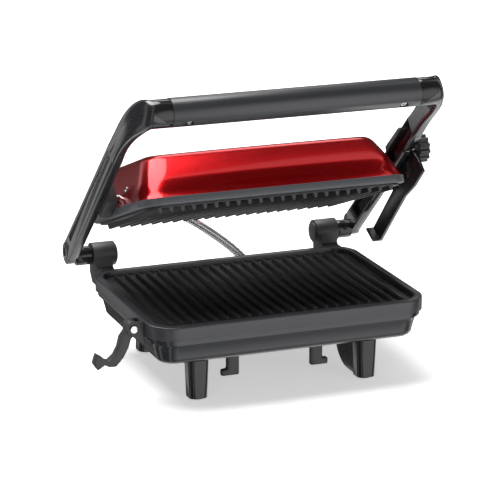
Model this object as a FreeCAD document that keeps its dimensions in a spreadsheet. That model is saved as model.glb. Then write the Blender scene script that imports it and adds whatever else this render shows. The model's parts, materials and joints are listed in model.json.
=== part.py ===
import FreeCAD, Part
import math
import os

import Sketcher

# Panini press: a ribbed lower plate in a legged base, a floating domed lid carried between two arms,
# a U-shaped handle hinged on two rear posts, a side latch, and a height stay with its knob.
#
# Millimetres, +Z up, +X to the right, the front facing -Y. The floor is Z = 0 and the origin lies under the
# middle of the whole press. The handle's own frame has its hinge axis along X through its origin and its
# arms along -Y. The lid's own frame has its side pivots on X and lies level when the press is closed.

Vector = FreeCAD.Vector
doc = FreeCAD.newDocument("panini_press")
sheet = doc.addObject("Spreadsheet::Sheet", "sizes")

SIZES = {
    # where the middle of the base lies, and the pose the press stands in
    "centre_x": 7.6, "centre_y": -12,
    "handle_angle": 42.1, "lid_angle": 20.0,
    # base rim, step and tub
    "rim_width": 293.0, "rim_depth": 214.0, "rim_top": 82.5, "rim_height": 14.0, "rim_corner": 28.0,
    "rim_wall": 8.0, "rim_bevel": 1.6, "ledge_width": 6.0, "plate_gap": 0.7,
    "step_height": 5.5, "step_inset": 2.6, "tub_inset": 6.0, "tub_draft": 4.0, "tub_bottom": 41.0,
    "tub_wall": 2.6, "tub_round": 7.0,
    "cover_side": 61.5, "cover_end": 52.0, "cover_thick": 2.2, "cover_lip": 5.0, "cover_corner": 8.0,
    "slot_pitch": 16.0, "slot_width": 3.0, "slot_length": 40.0, "cover_screw_set": 9.0, "cover_screw_radius": 3.6,
    # legs, pads and cord hooks
    "left_leg_set": 51.5, "right_leg_set": 61.5, "rear_leg_set": 31,
    "leg_width": 21.0, "leg_depth": 22.0, "leg_taper": 1.2, "leg_front_set": 15.0, "leg_corner": 6.0,
    "pad_height": 2.5, "pad_radius": 7.5, "pad_recess": 1.2, "pad_gap": 0.05,
    "fin_length": 66.0, "fin_thick": 3.2, "fin_low": 3, "fin_round": 34,
    "left_hook_x": 50.0, "right_hook_x": 40.0, "hook_y": 62.0, "hook_width": 13.0, "hook_depth": 7.0,
    "hook_drop": 29, "hook_lip": 6, "hook_lip_height": 7,
    # grill plates, ribs, heaters and reflectors
    "slab_thick": 4.0, "rib_count": 22.0, "rib_width": 4.6, "rib_height": 4.2, "rib_side": 23.65,
    "rib_top_width": 2.6, "rib_margin": 11.0, "rib_below_rim": 1.0,
    "heater_radius": 3.3, "heater_side": 86.5, "heater_end": 59,
    "reflector_height": 8.0, "reflector_wall": 0.8, "reflector_side": 32.5, "reflector_end": 32,
    "reflector_corner": 12.0,
    # rear posts and hinge
    "hinge_height": 95.0, "hinge_set": 17, "post_set": 12, "post_bottom": 64.0, "post_inset": 2, "post_width": 18,
    "barrel_radius": 12.8, "barrel_length": 24.5, "pin_radius": 4.0, "pin_gap": 0.05, "pin_end": 4.0,
    "cap_depth": 3.0, "cap_wall": 2.4, "cap_thick": 2.0, "hub_radius": 9.8, "hub_length": 16.6, "joint_gap": 0.4,
    # arms
    "side_gap": 8.5, "arm_thick": 9.5, "arm_depth": 22.0, "arm_rise": 5.0, "arm_length": 214.0,
    "arm_end_radius": 11.8, "channel_wall": 2.4, "channel_web": 3.0, "channel_start": 22.0,
    "groove_depth": 1.2, "groove_width": 6.5, "groove_rise": 9.0, "groove_start": 24.0, "groove_end": 6.0,
    # elbows, collars and grip
    "elbow_start": 240.0, "elbow_lap": 0.5, "elbow_swell": 1.6, "elbow_set": 9,
    "grip_reach": 302.0, "grip_drop": 2.5, "grip_radius": 14.3, "collar_length": 18.2,
    "collar_radius": 13.8, "core_radius": 8.0, "core_wall": 1.5,
    "grip_screw_set": 16.8, "grip_screw_radius": 3.2, "grip_screw_height": 1.8, "screw_well": 4.6,
    "well_depth": 3.4,
    # lid
    "lid_side_set": 4.5, "lid_end_set": 12, "lid_forward": 1, "lid_corner": 22.0,
    "trim_height": 8.0, "trim_drop": 9.5, "trim_wall": 11.0, "trim_round": 1.8,
    "dome_height": 45.0, "dome_front_set": 33.0, "dome_side_set": 17.0,
    "dome_round": 6.5, "dome_wall": 2.0, "dome_seat": 2.2, "upper_plate_inset": 6.0, "upper_plate_drop": 2.0,
    "upper_rib_height": 4.6, "upper_rib_margin": 3.0,
    "block_length": 34.0, "block_depth": 26.0, "block_gap": 1.6, "block_top_set": 1.0, "pivot_radius": 4.0,
    "pivot_end": 3.0, "boss_radius": 8.0, "boss_length": 9.0,
    "side_screw_radius": 3.0, "side_screw_rise": 16.0, "side_screw_set": 22.0, "side_screw_height": 1.4,
    # height stay and knob
    "stay_gap": 1.2, "stay_thick": 3.0, "stay_foot": 8.0, "knob_reach": 181.0, "knob_rise": -3.5,
    "stud_radius": 3.0, "knob_radius": 14.5, "knob_length": 11.0, "knob_flutes": 12.0, "flute_radius": 2.4,
    "knob_back_gap": 0.5, "knob_cap_radius": 9.0, "knob_cap_height": 1.6,
    "rivet_back": 27.0, "rivet_drop": 15.5, "rivet_lip": 2.2,
    # latch
    "latch_set": 41, "bolt_reach": 10.9, "bolt_z": 75.6, "bolt_radius": 2.5, "bolt_head_radius": 3.6,
    "bolt_head_height": 2.4, "nut_height": 2.0,
    "ear_thick": 2.6, "latch_thick": 10.0, "latch_gap": 0.4, "eye_radius": 7.0, "bracket_thick": 3.0,
    "bracket_height": 22.0,
    # conduit, its collars and the mains inlet
    "conduit_radius": 4.6, "ferrule_radius": 7.2, "ferrule_length": 9, "conduit_x": 50, "conduit_z": 52,
    "gland_reach": 3, "neck_radius": 5.6, "neck_length": 10,
    "lid_conduit_x": 70, "lid_conduit_z": 6, "lid_gland_set": 4.4, "lid_ferrule_length": 14,
    "inlet_x": 70, "inlet_radius": 6.2, "cord_radius": 3.4,
}

for row, (alias, number) in enumerate(SIZES.items(), start=1):
    sheet.set(f"A{row}", alias.replace("_", " "))
    sheet.set(f"B{row}", f"{number:g}")
    sheet.setAlias(f"B{row}", alias)
doc.recompute()


class Size:
    """A number together with the sheet formula that it follows."""

    def __init__(self, formula, number):
        self.formula, self.number = formula, number

    def __add__(self, other):
        return combine(self, "+", other)

    def __radd__(self, other):
        return combine(other, "+", self)

    def __sub__(self, other):
        return combine(self, "-", other)

    def __rsub__(self, other):
        return combine(other, "-", self)

    def __mul__(self, other):
        return combine(self, "*", other)

    __rmul__ = __mul__

    def __truediv__(self, other):
        return combine(self, "/", other)

    def __neg__(self):
        return combine(0.0, "-", self)


OPERATIONS = {"+": lambda a, b: a + b, "-": lambda a, b: a - b, "*": lambda a, b: a * b, "/": lambda a, b: a / b}


def sized(value):
    return value if isinstance(value, Size) else Size(f"({float(value):g})", float(value))


def combine(left, sign, right):
    left, right = sized(left), sized(right)
    return Size(f"({left.formula} {sign} {right.formula})", OPERATIONS[sign](left.number, right.number))


def cosine(angle):
    return Size(f"cos({angle.formula} * 1 deg)", math.cos(math.radians(angle.number)))


def sine(angle):
    return Size(f"sin({angle.formula} * 1 deg)", math.sin(math.radians(angle.number)))


class Sheet:
    """Reads a cell of the sheet by its alias."""

    def __getattr__(self, alias):
        return Size(f"sizes.{alias}", float(sheet.get(alias)))


s = Sheet()


# ---------------------------------------------------------------- sizes that follow others

hinge_back = s.rim_depth / 2 + s.hinge_set
post_back = hinge_back + s.post_set
arm_inner = s.rim_width / 2 + s.side_gap
arm_outer = arm_inner + s.arm_thick
barrel_outer = arm_inner - s.hub_length - s.joint_gap
barrel_inner = barrel_outer - s.barrel_length
post_outer = barrel_outer - s.post_inset
post_inner = post_outer - s.post_width
lid_width = s.rim_width - 2 * s.lid_side_set
lid_depth = s.rim_depth - 2 * s.lid_end_set
lid_reach = hinge_back + s.lid_forward
grip_half = arm_inner - s.elbow_set - s.collar_length
grip_screw_x = grip_half - s.grip_screw_set
bolt_x = s.rim_width / 2 + s.bolt_reach
latch_y = s.rim_depth / 2 - s.latch_set
left_leg_x = s.rim_width / 2 - s.left_leg_set
right_leg_x = s.rim_width / 2 - s.right_leg_set
rear_leg_y = s.rim_depth / 2 - s.rear_leg_set
rib_pitch = (s.rim_width - 2 * s.rib_side) / (s.rib_count - 1)
heater_length = s.rim_width - 2 * s.heater_side
heater_span = s.rim_depth - 2 * s.heater_end
reflector_width = s.rim_width - 2 * s.reflector_side
reflector_depth = s.rim_depth - 2 * s.reflector_end
gland_face = s.rim_depth / 2 + s.gland_reach
lid_gland_face = lid_depth / 2 - s.lid_gland_set
cover_width = s.rim_width - 2 * s.cover_side
cover_depth = s.rim_depth - 2 * s.cover_end


# ---------------------------------------------------------------- frames

def bind(thing, name, value):
    thing.setExpression(name, sized(value).formula)


def turn(thing, angle):
    """Tips a piece about X, its front going up."""
    thing.Placement = FreeCAD.Placement(Vector(0, 0, 0), FreeCAD.Rotation(Vector(1, 0, 0), -angle.number))
    thing.setExpression("Placement.Rotation.Angle", f"(0 - {angle.formula}) * 1 deg")


def place_on_base(thing):
    for letter, value in zip("xy", (s.centre_x, s.centre_y)):
        bind(thing, f"Placement.Base.{letter}", value)


def place_on_handle(thing):
    turn(thing, s.handle_angle)
    for letter, value in zip("xyz", (s.centre_x, s.centre_y + hinge_back, s.hinge_height)):
        bind(thing, f"Placement.Base.{letter}", value)


def place_on_lid(thing):
    turn(thing, s.lid_angle)
    back = s.centre_y + hinge_back - lid_reach * cosine(s.handle_angle)
    up = s.hinge_height + lid_reach * sine(s.handle_angle)
    for letter, value in zip("xyz", (s.centre_x, back, up)):
        bind(thing, f"Placement.Base.{letter}", value)


# ---------------------------------------------------------------- sketches and features

PLANES = {"X": ("YZ_Plane", 1), "Y": ("XZ_Plane", -1), "Z": ("XY_Plane", 1)}
PIECES = []


def new_piece(label, place):
    body = doc.addObject("PartDesign::Body", label)
    body.Label = label
    body.AllowCompound = True
    place(body)
    PIECES.append(body)
    return body


def new_sketch(body, axis, level):
    """A sketch square to an axis of its body, at a level along that axis."""
    plane, way = PLANES[axis]
    sketch = body.newObject("Sketcher::SketchObject", f"{body.Label}_sketch")
    origin_plane = [part for part in body.Origin.OriginFeatures if part.Role == plane][0]
    sketch.AttachmentSupport = [(origin_plane, "")]
    sketch.MapMode = "FlatFace"
    bind(sketch, "AttachmentOffset.Base.z", way * sized(level))
    return sketch


def constrain(sketch, kind, value, *places):
    index = sketch.addConstraint(Sketcher.Constraint(kind, *places, sized(value).number))
    sketch.setExpression(f"Constraints[{index}]", sized(value).formula)


def pin_point(sketch, geometry, end, across, up):
    constrain(sketch, "DistanceX", across, -1, 1, geometry, end)
    constrain(sketch, "DistanceY", up, -1, 1, geometry, end)


def polygon(sketch, corners):
    corners = [(sized(across), sized(up)) for across, up in corners]
    points = [Vector(across.number, up.number, 0) for across, up in corners]
    first = sketch.GeometryCount
    count = len(points)
    for index in range(count):
        sketch.addGeometry(Part.LineSegment(points[index], points[(index + 1) % count]), False)
    for index in range(count):
        following = first + (index + 1) % count
        sketch.addConstraint(Sketcher.Constraint("Coincident", first + index, 2, following, 1))
    for index, (across, up) in enumerate(corners):
        pin_point(sketch, first + index, 1, across, up)


def rectangle(sketch, low_across, high_across, low_up, high_up):
    polygon(sketch, [(low_across, low_up), (high_across, low_up), (high_across, high_up), (low_across, high_up)])


def circle(sketch, across, up, radius):
    across, up, radius = sized(across), sized(up), sized(radius)
    centre = Vector(across.number, up.number, 0)
    index = sketch.addGeometry(Part.Circle(centre, Vector(0, 0, 1), radius.number), False)
    pin_point(sketch, index, 3, across, up)
    constrain(sketch, "Radius", radius, index)


def rounded_rectangle(sketch, width, depth, corner, across=0.0, up=0.0):
    """Four arcs at the corners, joined by tangent lines."""
    width, depth, corner = sized(width), sized(depth), sized(corner)
    across, up = sized(across), sized(up)
    half_x, half_y = width / 2 - corner, depth / 2 - corner
    arcs = []
    for quarter, (way_x, way_y) in enumerate([(1, 1), (-1, 1), (-1, -1), (1, -1)]):
        centre = Vector(across.number + way_x * half_x.number, up.number + way_y * half_y.number, 0)
        ring = Part.Circle(centre, Vector(0, 0, 1), corner.number)
        arc = Part.ArcOfCircle(ring, quarter * math.pi / 2, (quarter + 1) * math.pi / 2)
        arcs.append(sketch.addGeometry(arc, False))
    for index, arc in enumerate(arcs):
        following = arcs[(index + 1) % 4]
        start = sketch.getPoint(arc, 2)
        end = sketch.getPoint(following, 1)
        line = sketch.addGeometry(Part.LineSegment(start, end), False)
        sketch.addConstraint(Sketcher.Constraint("Tangent", arc, 2, line, 1))
        sketch.addConstraint(Sketcher.Constraint("Tangent", line, 2, following, 1))
        flat = "Horizontal" if index % 2 == 0 else "Vertical"
        sketch.addConstraint(Sketcher.Constraint(flat, line))
    for arc in arcs:
        constrain(sketch, "Radius", corner, arc)
    pin_point(sketch, arcs[0], 3, across + half_x, up + half_y)
    pin_point(sketch, arcs[2], 3, across - half_x, up - half_y)


def pad(body, sketch, axis, length):
    feature = body.newObject("PartDesign::Pad", f"{body.Label}_pad")
    feature.Profile = sketch
    feature.Reversed = PLANES[axis][1] < 0
    bind(feature, "Length", length)
    return feature


def cut(body, sketch, axis, length):
    """Cuts from the sketch's level towards the positive axis, and makes sure that it removed something."""
    doc.recompute()
    before = body.Shape.Volume
    feature = body.newObject("PartDesign::Pocket", f"{body.Label}_pocket")
    feature.Profile = sketch
    feature.Reversed = PLANES[axis][1] > 0
    bind(feature, "Length", length)
    doc.recompute()
    if not feature.Shape.Volume < before - 1e-3:
        raise RuntimeError(f"a cut in {body.Label} removed nothing")
    return feature


def block(body, axis, level, length, low_across, high_across, low_up, high_up):
    sketch = new_sketch(body, axis, level)
    rectangle(sketch, low_across, high_across, low_up, high_up)
    return pad(body, sketch, axis, length)


def plate(body, level, length, width, depth, corner, across=0.0, up=0.0):
    sketch = new_sketch(body, "Z", level)
    rounded_rectangle(sketch, width, depth, corner, across, up)
    return pad(body, sketch, "Z", length)


def opening(body, level, length, width, depth, corner, across=0.0, up=0.0):
    sketch = new_sketch(body, "Z", level)
    rounded_rectangle(sketch, width, depth, corner, across, up)
    return cut(body, sketch, "Z", length)


def rod(body, axis, level, length, across, up, radius):
    sketch = new_sketch(body, axis, level)
    circle(sketch, across, up, radius)
    return pad(body, sketch, axis, length)


def bore(body, axis, level, length, across, up, radius):
    sketch = new_sketch(body, axis, level)
    circle(sketch, across, up, radius)
    return cut(body, sketch, axis, length)


def loft(body, kind, sections):
    """A loft through rounded rectangles, each given as (level, width, depth, corner)."""
    sketches = []
    for level, width, depth, corner in sections:
        sketch = new_sketch(body, "Z", level)
        rounded_rectangle(sketch, width, depth, corner)
        sketches.append(sketch)
    doc.recompute()
    feature = body.newObject(f"PartDesign::{kind}Loft", f"{body.Label}_loft")
    feature.Profile = sketches[0]
    feature.Sections = sketches[1:]
    feature.Ruled = True
    doc.recompute()
    return feature


def quarter_round(turns=4):
    """Shares of (run, rise) along a quarter round that starts upright and ends level."""
    for number in range(turns + 1):
        angle = sized(90.0 * number / turns)
        yield 1 - cosine(angle), sine(angle)


def round_edges(body, radius, chosen, kind="Fillet"):
    """Rounds (or bevels) the edges that the test chooses."""
    doc.recompute()
    base = body.Tip
    names = [f"Edge{number}" for number, edge in enumerate(base.Shape.Edges, start=1) if chosen(edge)]
    if not names:
        raise RuntimeError(f"no edge to round on {body.Label}")
    feature = body.newObject(f"PartDesign::{kind}", f"{body.Label}_{kind.lower()}")
    feature.Base = (base, names)
    bind(feature, "Radius" if kind == "Fillet" else "Size", radius)
    return feature


def at_level(edge, axis, value, slack=0.01):
    index = "XYZ".index(axis)
    low = (edge.BoundBox.XMin, edge.BoundBox.YMin, edge.BoundBox.ZMin)[index]
    high = (edge.BoundBox.XMax, edge.BoundBox.YMax, edge.BoundBox.ZMax)[index]
    return abs(low - value.number) < slack and abs(high - value.number) < slack


def far_out(edge, half_width, half_depth):
    """True of an edge on the outer outline, not on an opening inside it."""
    middle = edge.CenterOfMass
    return abs(middle.x) > half_width.number or abs(middle.y) > half_depth.number


# ---------------------------------------------------------------- base

rim_bottom = s.rim_top - s.rim_height
slab_top = s.rim_top - s.rib_below_rim - s.rib_height
slab_bottom = slab_top - s.slab_thick
step_bottom = rim_bottom - s.step_height
tub_width, tub_depth = s.rim_width - 2 * s.tub_inset, s.rim_depth - 2 * s.tub_inset
tub_corner = s.rim_corner - s.tub_inset
foot_width, foot_depth = tub_width - 2 * s.tub_draft, tub_depth - 2 * s.tub_draft
floor_top = s.tub_bottom + s.tub_wall


def make_base_rim():
    body = new_piece("base_rim", place_on_base)
    plate(body, rim_bottom, s.rim_height, s.rim_width, s.rim_depth, s.rim_corner)
    inner_width, inner_depth = s.rim_width - 2 * s.rim_wall, s.rim_depth - 2 * s.rim_wall
    opening(body, slab_bottom, s.rim_height, inner_width, inner_depth, s.rim_corner - s.rim_wall)
    below_width, below_depth = inner_width - 2 * s.ledge_width, inner_depth - 2 * s.ledge_width
    corner = s.rim_corner - s.rim_wall - s.ledge_width
    opening(body, rim_bottom - 1, s.rim_height, below_width, below_depth, corner)
    half_x, half_y = s.rim_width / 2 - s.rim_wall / 2, s.rim_depth / 2 - s.rim_wall / 2
    round_edges(body, s.rim_bevel,
                lambda edge: at_level(edge, "Z", s.rim_top) and far_out(edge, half_x, half_y))


def make_base_tub():
    body = new_piece("base_tub", place_on_base)
    sections = [(step_bottom, tub_width, tub_depth, tub_corner)]
    for run, rise in quarter_round():
        inset = 2 * s.tub_round * run
        sections.append((s.tub_bottom + s.tub_round * (1 - rise), foot_width - inset, foot_depth - inset,
                         tub_corner - s.tub_draft - s.tub_round * run))
    loft(body, "Additive", sections)
    plate(body, step_bottom, s.step_height, s.rim_width - 2 * s.step_inset, s.rim_depth - 2 * s.step_inset,
          s.rim_corner - s.step_inset)
    wall = 2 * s.tub_wall
    corner = tub_corner - s.tub_wall
    inner = [(step_bottom, tub_width - wall, tub_depth - wall, corner)]
    for run, rise in quarter_round():
        inset = wall + 2 * s.tub_round * run
        inner.append((floor_top + s.tub_round * (1 - rise), foot_width - inset, foot_depth - inset,
                      corner - s.tub_draft - s.tub_round * run))
    loft(body, "Subtractive", inner)
    opening(body, step_bottom, s.step_height, tub_width - wall, tub_depth - wall, corner)
    opening(body, s.tub_bottom - 1, s.tub_wall + 1, cover_width, cover_depth, s.cover_corner)
    rear = tub_depth / 2 - s.neck_length
    bore(body, "Y", rear, s.neck_length, s.conduit_x, s.conduit_z, s.neck_radius)
    bore(body, "Y", rear, s.neck_length, -s.inlet_x, s.conduit_z, s.inlet_radius)


def make_bottom_cover():
    body = new_piece("bottom_cover", place_on_base)
    lip = 2 * s.cover_lip
    plate(body, floor_top, s.cover_thick, cover_width + lip, cover_depth + lip, s.cover_corner + 2)
    for number in range(-3, 4):
        middle = number * s.slot_pitch
        sketch = new_sketch(body, "Z", floor_top - 1)
        rounded_rectangle(sketch, s.slot_width, s.slot_length, s.slot_width * 0.47, middle, 0.0)
        cut(body, sketch, "Z", s.cover_thick + 1)


def make_cover_screws():
    body = new_piece("cover_screws", place_on_base)
    for way_x in (-1, 1):
        for way_y in (-1, 1):
            across = way_x * (cover_width / 2 - s.cover_screw_set)
            up = way_y * (cover_depth / 2 - s.cover_screw_set)
            rod(body, "Z", floor_top - 2.0, 2.0, across, up, s.cover_screw_radius)


def make_front_leg(label, middle, inward):
    """A tapered post with a thin fin running back from its inner side."""
    body = new_piece(label, place_on_base)
    front = s.leg_front_set - s.rim_depth / 2
    half = s.leg_width / 2
    profiles = []
    for level, shrink in ((s.pad_height - s.pad_recess, s.leg_taper), (s.tub_bottom, sized(0.0))):
        sketch = new_sketch(body, "Z", level)
        rounded_rectangle(sketch, s.leg_width - 2 * shrink, s.leg_depth - 2 * shrink, s.leg_corner,
                          middle, front + s.leg_depth / 2)
        profiles.append(sketch)
    doc.recompute()
    post = body.newObject("PartDesign::AdditiveLoft", f"{label}_loft")
    post.Profile = profiles[0]
    post.Sections = [profiles[1]]
    post.Ruled = True
    inner = middle + inward * (half - s.leg_taper - s.fin_thick)
    low = inner if inward > 0 else inner - s.fin_thick
    start, end = front + s.leg_depth / 2, front + s.fin_length
    block(body, "X", low, s.fin_thick, start, end, s.fin_low, s.tub_bottom)
    round_edges(body, s.fin_round, lambda edge: at_level(edge, "Y", end) and at_level(edge, "Z", s.fin_low))
    bore(body, "Z", s.pad_height - s.pad_recess, s.pad_recess, middle, front + s.leg_depth / 2, s.pad_radius)


def make_rear_leg(label, middle):
    body = new_piece(label, place_on_base)
    half = s.leg_width / 2 - s.leg_taper
    base = s.pad_height - s.pad_recess
    sketch = new_sketch(body, "Z", base)
    rounded_rectangle(sketch, 2 * half, s.leg_depth - 2 * s.leg_taper, s.leg_corner, middle, rear_leg_y)
    pad(body, sketch, "Z", s.tub_bottom - base)
    bore(body, "Z", base, s.pad_recess, middle, rear_leg_y, s.pad_radius)


def make_foot_pads():
    body = new_piece("foot_pads", place_on_base)
    front = s.leg_front_set - s.rim_depth / 2 + s.leg_depth / 2
    for middle in (-left_leg_x, right_leg_x):
        for along in (front, rear_leg_y):
            rod(body, "Z", 0.0, s.pad_height, middle, along, s.pad_radius - s.pad_gap)


def make_cord_hook(label, middle, outward):
    """An L that hangs under the tub, its toe pointing outwards."""
    body = new_piece(label, place_on_base)
    bottom = s.tub_bottom - s.hook_drop
    inner = middle - outward * s.hook_width / 2
    outer = middle + outward * s.hook_width / 2
    toe = outer + outward * s.hook_lip
    sketch = new_sketch(body, "Y", -s.hook_y - s.hook_depth / 2)
    polygon(sketch, [(inner, s.tub_bottom), (inner, bottom), (toe, bottom), (toe, bottom + s.hook_lip_height),
                     (outer, bottom + s.hook_lip_height), (outer, s.tub_bottom)])
    pad(body, sketch, "Y", s.hook_depth)


def rib_profile(body, level, height, first):
    """One tapered rib, drawn square to Y at the left end of the row. A negative height hangs down."""
    half_foot, half_top = s.rib_width / 2, s.rib_top_width / 2
    sketch = new_sketch(body, "Y", first)
    middle = -(s.rib_count - 1) * rib_pitch / 2
    polygon(sketch, [(middle - half_foot, level), (middle + half_foot, level),
                     (middle + half_top, level + height), (middle - half_top, level + height)])
    return sketch


def add_ribs(body, level, height, depth, margin):
    length = depth - 2 * margin
    sketch = rib_profile(body, level, height, -length / 2)
    rib = pad(body, sketch, "Y", length)
    doc.recompute()
    row_of_ribs = body.newObject("PartDesign::LinearPattern", f"{body.Label}_ribs")
    row_of_ribs.Originals = [rib]
    row_of_ribs.Direction = (sketch, ["H_Axis"])
    bind(row_of_ribs, "Length", (s.rib_count - 1) * rib_pitch)
    bind(row_of_ribs, "Occurrences", s.rib_count)
    body.Tip = row_of_ribs


def make_lower_grill_plate():
    body = new_piece("lower_grill_plate", place_on_base)
    width = s.rim_width - 2 * s.rim_wall - 2 * s.plate_gap
    depth = s.rim_depth - 2 * s.rim_wall - 2 * s.plate_gap
    plate(body, slab_bottom, s.slab_thick, width, depth, s.rim_corner - s.rim_wall - s.plate_gap)
    add_ribs(body, slab_top, s.rib_height, depth, s.rib_margin)


def make_u_heater(label, place, level):
    """A tubular element bent into a U: two straight runs and a half ring."""
    body = new_piece(label, place)
    half, offset = heater_length / 2, heater_span / 2
    for way in (-1, 1):
        rod(body, "X", -half, heater_length, way * offset, level, s.heater_radius)
    sketch = new_sketch(body, "X", half)
    circle(sketch, offset, level, s.heater_radius)
    doc.recompute()
    bend = body.newObject("PartDesign::Revolution", f"{label}_bend")
    bend.Profile = sketch
    bend.ReferenceAxis = (sketch, ["V_Axis"])
    bend.Angle = 180.0
    bend.Reversed = True
    doc.recompute()
    if bend.Shape.BoundBox.XMax < half.number + 1:
        bend.Reversed = False


def make_reflector(label, place, level, upward):
    """A thin tray behind the element, its rim turned towards the plate."""
    body = new_piece(label, place)
    wall = s.reflector_wall
    low = level if upward else level - s.reflector_height
    plate(body, low, s.reflector_height, reflector_width, reflector_depth, s.reflector_corner)
    start = low + wall if upward else low - wall
    opening(body, start, s.reflector_height, reflector_width - 2 * wall, reflector_depth - 2 * wall,
            s.reflector_corner - wall)


def make_small_base_parts():
    rear = foot_depth / 2 - s.tub_wall
    thermostat = new_piece("thermostat", place_on_base)
    rod(thermostat, "Z", floor_top + 3.0, 9.0, -60.0, rear - 34.0, 9.0)
    block(thermostat, "Z", floor_top + 12.0, 2.0, -71.0, -49.0, rear - 38.0, rear - 30.0)
    fuse = new_piece("thermal_fuse", place_on_base)
    rod(fuse, "X", 20.0, 12.0, rear - 16.0, floor_top + 6.0, 3.0)
    rod(fuse, "X", 10.0, 32.0, rear - 16.0, floor_top + 6.0, 0.8)
    terminals = new_piece("terminal_block", place_on_base)
    block(terminals, "Z", floor_top, 11.0, -110.0, -84.0, rear - 26.0, rear - 12.0)
    for number in range(3):
        bore(terminals, "Z", floor_top + 6.0, 5.0, 7.0 * number - 104.0, rear - 19.0, 2.0)


def make_cord_inlet():
    """The sleeve in the tub's rear wall that a mains cord would come through."""
    body = new_piece("cord_inlet", place_on_base)
    rear = tub_depth / 2
    rod(body, "Y", rear - s.neck_length, s.neck_length, -s.inlet_x, s.conduit_z, s.inlet_radius)
    rod(body, "Y", rear, 4.0, -s.inlet_x, s.conduit_z, s.inlet_radius + 2.6)
    rod(body, "Y", rear + 4.0, 8.0, -s.inlet_x, s.conduit_z, s.inlet_radius - 0.6)
    bore(body, "Y", rear - s.neck_length, s.neck_length + 12.0, -s.inlet_x, s.conduit_z, s.cord_radius)


def make_hinge_post(label, way):
    """A post hugging the rim's rear corner, with a barrel across its top for the hinge pin."""
    body = new_piece(label, place_on_base)
    low_x = post_inner if way > 0 else -post_outer
    top, back = s.hinge_height, post_back
    face = hinge_back - s.barrel_radius
    start = s.rim_depth / 2 - s.rim_corner / 2
    sketch = new_sketch(body, "X", low_x)
    polygon(sketch, [(start, s.post_bottom), (back - 8, s.post_bottom), (back, s.post_bottom + 10),
                     (back, top), (face, top), (face, s.rim_top + 2), (face - 2, s.rim_top),
                     (start, s.rim_top)])
    pad(body, sketch, "X", post_outer - post_inner)
    barrel_low = barrel_inner if way > 0 else -barrel_outer
    rod(body, "X", barrel_low, barrel_outer - barrel_inner, hinge_back, s.hinge_height, s.barrel_radius)
    opening(body, s.post_bottom, s.rim_top - s.post_bottom, s.rim_width, s.rim_depth, s.rim_corner)
    bore_low = barrel_inner + s.cap_depth if way > 0 else -barrel_outer
    bore(body, "X", bore_low, barrel_outer - barrel_inner - s.cap_depth, hinge_back, s.hinge_height,
         s.pin_radius + s.pin_gap)


def make_hinge_caps():
    body = new_piece("hinge_caps", place_on_base)
    for way in (-1, 1):
        low = barrel_inner - s.cap_thick if way > 0 else -barrel_inner
        rod(body, "X", low, s.cap_thick, hinge_back, s.hinge_height, s.barrel_radius - s.cap_wall)


# ---------------------------------------------------------------- latch

ear_reach = s.latch_thick / 2 + s.latch_gap
latch_middle = -latch_y
bolt_across = -bolt_x


def make_latch_bracket():
    """A plate on the rim's side with two ears, the latch swinging between them."""
    body = new_piece("latch_bracket", place_on_base)
    side = -s.rim_width / 2
    half = ear_reach + s.ear_thick
    block(body, "X", side - s.bracket_thick, s.bracket_thick, latch_middle - half, latch_middle + half,
          s.rim_top - s.bracket_height, s.rim_top)
    inner, low, high = side - s.bracket_thick / 2, s.bolt_z - 14.0, s.rim_top
    for start in (latch_middle - half, latch_middle + ear_reach):
        sketch = new_sketch(body, "Y", start)
        polygon(sketch, [(inner, high), (bolt_across - 2.0, high), (bolt_across - 7.0, s.bolt_z + 3.0),
                         (bolt_across - 6.0, s.bolt_z - 4.0), (inner - 2.0, low), (inner, low)])
        pad(body, sketch, "Y", s.ear_thick)
    bore(body, "Y", latch_middle - half, 2 * half, bolt_across, s.bolt_z, s.bolt_radius)


def make_latch_bolt():
    body = new_piece("latch_bolt", place_on_base)
    half = ear_reach + s.ear_thick
    rod(body, "Y", latch_middle - half, 2 * half, bolt_across, s.bolt_z, s.bolt_radius)
    rod(body, "Y", latch_middle - half - s.bolt_head_height, s.bolt_head_height, bolt_across, s.bolt_z,
        s.bolt_head_radius)
    rod(body, "Y", latch_middle + half, s.nut_height, bolt_across, s.bolt_z, s.bolt_head_radius - 0.8)


def make_latch():
    """An eye round the bolt, a shank hanging down and outwards, and a barbed hook turned up at its end."""
    body = new_piece("latch", place_on_base)
    start = latch_middle - s.latch_thick / 2
    rod(body, "Y", start, s.latch_thick, bolt_across, s.bolt_z, s.eye_radius)
    sketch = new_sketch(body, "Y", start)
    outline = [(4.2, -5.0), (-1.6, -11.0), (-4.4, -20.0), (-9.6, -29.4), (-17.0, -37.4), (-24.0, -37.4),
               (-28.4, -34.8), (-35.8, -39.4), (-39.6, -33.2), (-36.4, -23.4), (-30.2, -27.6), (-27.2, -30.6),
               (-24.4, -31.6), (-18.4, -26.6), (-14.2, -18.6), (-12.0, -9.0), (-6.6, -1.5)]
    polygon(sketch, [(bolt_across + across, s.bolt_z + up) for across, up in outline])
    pad(body, sketch, "Y", s.latch_thick)
    bore(body, "Y", start, s.latch_thick, bolt_across, s.bolt_z, s.bolt_radius + s.pin_gap)


# ---------------------------------------------------------------- handle

arm_low, arm_high = s.arm_rise - s.arm_depth / 2, s.arm_rise + s.arm_depth / 2


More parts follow.
